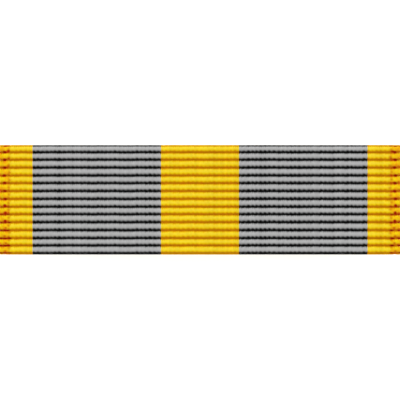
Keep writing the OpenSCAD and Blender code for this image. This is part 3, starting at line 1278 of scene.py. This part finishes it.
def mark_handling(mesh, middle):
    """Writes how much a clutch is handled: most at its rim, feet and edges, least in its corners."""
    points = np.empty(3 * len(mesh.vertices))
    mesh.vertices.foreach_get("co", points)
    x, y, z = (points.reshape(-1, 3) / MM).T
    x = x - middle / MM
    away = np.hypot(x, y)
    out = np.abs(x)
    rim = ramp(away, *RIM_RUB) * (z > RIM_ABOVE)
    foot = ramp(out, *FOOT_RUB) * (z < FOOT_BELOW)
    edge = ramp(np.abs(y), *EDGE_RUB) * (z < WING_BELOW) * (out > WING_FROM)
    radius, height, reach = SHOULDER_RUB
    shoulder = ramp(np.hypot(away - radius, z - height), reach, 0) * SHOULDER_SHARE
    corner = np.zeros_like(z)
    for radius, height in TARNISH_RINGS:
        near = np.exp(-((away - radius) ** 2 + (z - height) ** 2) / (2 * TARNISH_REACH**2))
        corner = np.maximum(corner, near)
    rubbed = np.maximum.reduce([rim, foot, edge, shoulder])
    handled = (1 + rubbed - corner * (1 - rubbed)) / 2
    write_layer(mesh, "handled", handled)


class RIBBONBAR_OT_press_clutches(bpy.types.Operator):
    """Turns and bends one clutch and copies it for the other post"""

    bl_idname = "ribbonbar.press_clutches"
    bl_label = "Press Clutches"

    def execute(self, context):
        settings = context.scene.ribbon_bar_clutches
        middle = CLUTCH_MIDDLE * MM
        body = turn_clutch_body(settings, middle)
        raise_bumps(settings, body, middle)
        strip = bend_clutch_wings(settings, middle)
        bpy.ops.object.select_all(action="DESELECT")
        strip.select_set(True)
        body.select_set(True)
        context.view_layer.objects.active = body
        bpy.ops.object.join()
        body.name = "clutch_left_pressed"
        bpy.ops.object.shade_smooth_by_angle(angle=math.radians(SMOOTH_EDGE))
        mark_handling(body.data, middle)

        # Stamped from sheet and tumbled bright: soft short scratches in a polished surface
        look = context.scene.ribbon_bar_brass
        material = brass_material(
            "brass_stamped_and_polished",
            look,
            handled_wear,
            stroke=(0.16, 0.06),
            roughness=(0.14, 0.4),
            waviness=0.016,
        )
        body.data.materials.append(material)

        bpy.ops.object.duplicate(linked=False)
        copy = context.object
        copy.name = "clutch_right_pressed"
        copy.location = (-2 * middle, 0, 0)
        bpy.ops.object.transform_apply()
        for piece, node in ((body, "clutch_left"), (copy, "clutch_right")):
            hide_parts(node)
            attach(piece, BODY)
        return {"FINISHED"}


class StageSettings(bpy.types.PropertyGroup):
    """Stage"""

    lens: FloatProperty(
        name="Lens",
        description="Focal length",
        default=250.0,
        unit="CAMERA",
    )
    camera_y: length_property("Camera height", "Place of the camera along Y", -0.02)
    crop: FloatProperty(
        name="Crop",
        description="Share of the bar's length that fills the picture's width",
        default=0.9965,
    )
    sky: FloatProperty(
        name="Sky",
        description="Strength of the soft light overhead",
        default=0.62,
    )
    key: FloatProperty(
        name="Key",
        description="Strength of the soft light from above",
        default=1.5,
    )
    key_tilt: FloatProperty(
        name="Key tilt",
        description="Tilt of the light from above",
        default=math.radians(-20),
        subtype="ANGLE",
    )
    key_spread: FloatProperty(
        name="Key spread",
        description="How wide the light comes in",
        default=math.radians(60),
        subtype="ANGLE",
    )
    floor_glow: FloatProperty(
        name="Floor glow",
        description="Light that the floor gives off",
        default=0.5,
    )
    floor_half: length_property("Floor", "Half the width of the floor", 4000)


def sky_world(strength):
    """A pale studio surround: white along the horizon and dimmer overhead."""
    world = bpy.data.worlds.new("studio_surround")
    bpy.context.scene.world = world
    world.use_nodes = True
    tree = world.node_tree
    tree.nodes.clear()
    place = add_node(tree, "ShaderNodeTexCoord").outputs["Generated"]
    height = add_node(tree, "ShaderNodeSeparateXYZ", inputs={"Vector": place}).outputs["Z"]
    stops = [(0.0, 1.0), (0.15, 0.95), (0.6, strength)]
    pale = add_node(tree, "ShaderNodeValToRGB", inputs={"Fac": height}, stops=stops)
    back = add_node(tree, "ShaderNodeBackground", inputs={"Color": pale, "Strength": 1.0})
    add_node(tree, "ShaderNodeOutputWorld", inputs={"Surface": back})


def floor_material(glow):
    """Matt white paper, lit from below as on a light table, so that shadows stay faint."""
    material, tree = new_material("paper_matt_white")
    place = add_node(tree, "ShaderNodeTexCoord").outputs["Object"]
    grain = add_node(tree, "ShaderNodeTexNoise", inputs={"Vector": place, "Scale": 1 / (PAPER_GRAIN * MM)})
    tone = add_node(tree, "ShaderNodeValToRGB", inputs={"Fac": grain}, stops=[(0.3, 0.91), (0.7, 0.93)])
    shader = add_node(
        tree,
        "ShaderNodeBsdfPrincipled",
        inputs={
            "Base Color": tone,
            "Roughness": 0.9,
            "Emission Color": (1.0, 1.0, 1.0, 1.0),
            "Emission Strength": glow,
        },
    )
    add_node(tree, "ShaderNodeOutputMaterial", inputs={"Surface": shader})
    return material


class RIBBONBAR_OT_set_stage(bpy.types.Operator):
    """Sets the floor, the light and the camera"""

    bl_idname = "ribbonbar.set_stage"
    bl_label = "Set Stage"

    def execute(self, context):
        settings = context.scene.ribbon_bar_stage
        bpy.ops.object.select_all(action="DESELECT")
        bpy.ops.mesh.primitive_plane_add(size=2 * settings.floor_half, location=(0, 0, -FLOOR_DROP * MM))
        floor = context.object
        floor.name = "floor"
        floor.data.materials.append(floor_material(settings.floor_glow))
        sky_world(settings.sky)

        bpy.ops.object.light_add(type="SUN", location=[place * MM for place in KEY_PLACE])
        key = context.object
        key.name = "key"
        key.data.energy = settings.key
        key.data.angle = settings.key_spread
        key.rotation_euler = (settings.key_tilt, 0, 0)

        data = bpy.data.cameras.new("camera")
        data.lens = settings.lens
        camera = bpy.data.objects.new("camera", data)
        context.collection.objects.link(camera)
        stand_off = BAR_LENGTH * MM * settings.crop * data.lens / data.sensor_width
        camera.location = (0, settings.camera_y, RIBBON_HIGH[2] + stand_off)
        context.scene.camera = camera
        context.scene.view_settings.view_transform = "Standard"
        return {"FINISHED"}


class RIBBONBAR_PT_sidebar(bpy.types.Panel):
    """Lists the sizes and colours, and the steps in the order in which they are run"""

    bl_label = "Ribbon Bar"
    bl_idname = "RIBBONBAR_PT_sidebar"
    bl_space_type = "VIEW_3D"
    bl_region_type = "UI"
    bl_category = "Ribbon Bar"

    def draw(self, context):
        for name, group in GROUPS.items():
            box = self.layout.box()
            box.label(text=group.__doc__)
            for setting in group.__annotations__:
                box.prop(getattr(context.scene, name), setting)
        for operator in OPERATORS:
            self.layout.operator(operator.bl_idname)


GROUPS = {
    "ribbon_bar_ribbon": RibbonSettings,
    "ribbon_bar_brass": BrassSettings,
    "ribbon_bar_clutches": ClutchSettings,
    "ribbon_bar_stage": StageSettings,
}
OPERATORS = (
    RIBBONBAR_OT_set_stage,
    RIBBONBAR_OT_weave_ribbon,
    RIBBONBAR_OT_finish_channel,
    RIBBONBAR_OT_finish_mounting_bar,
    RIBBONBAR_OT_press_clutches,
)


def register():
    for kind in (*GROUPS.values(), *OPERATORS, RIBBONBAR_PT_sidebar):
        bpy.utils.register_class(kind)
    for name, group in GROUPS.items():
        setattr(bpy.types.Scene, name, PointerProperty(type=group))


def unregister():
    for name in GROUPS:
        delattr(bpy.types.Scene, name)
    for kind in (RIBBONBAR_PT_sidebar, *OPERATORS, *GROUPS.values()):
        bpy.utils.unregister_class(kind)


def main():
    """Makes every piece in order."""
    register()
    for operator in OPERATORS:
        group, name = operator.bl_idname.split(".")
        getattr(getattr(bpy.ops, group), name)()


if __name__ == "__main__":
    main()
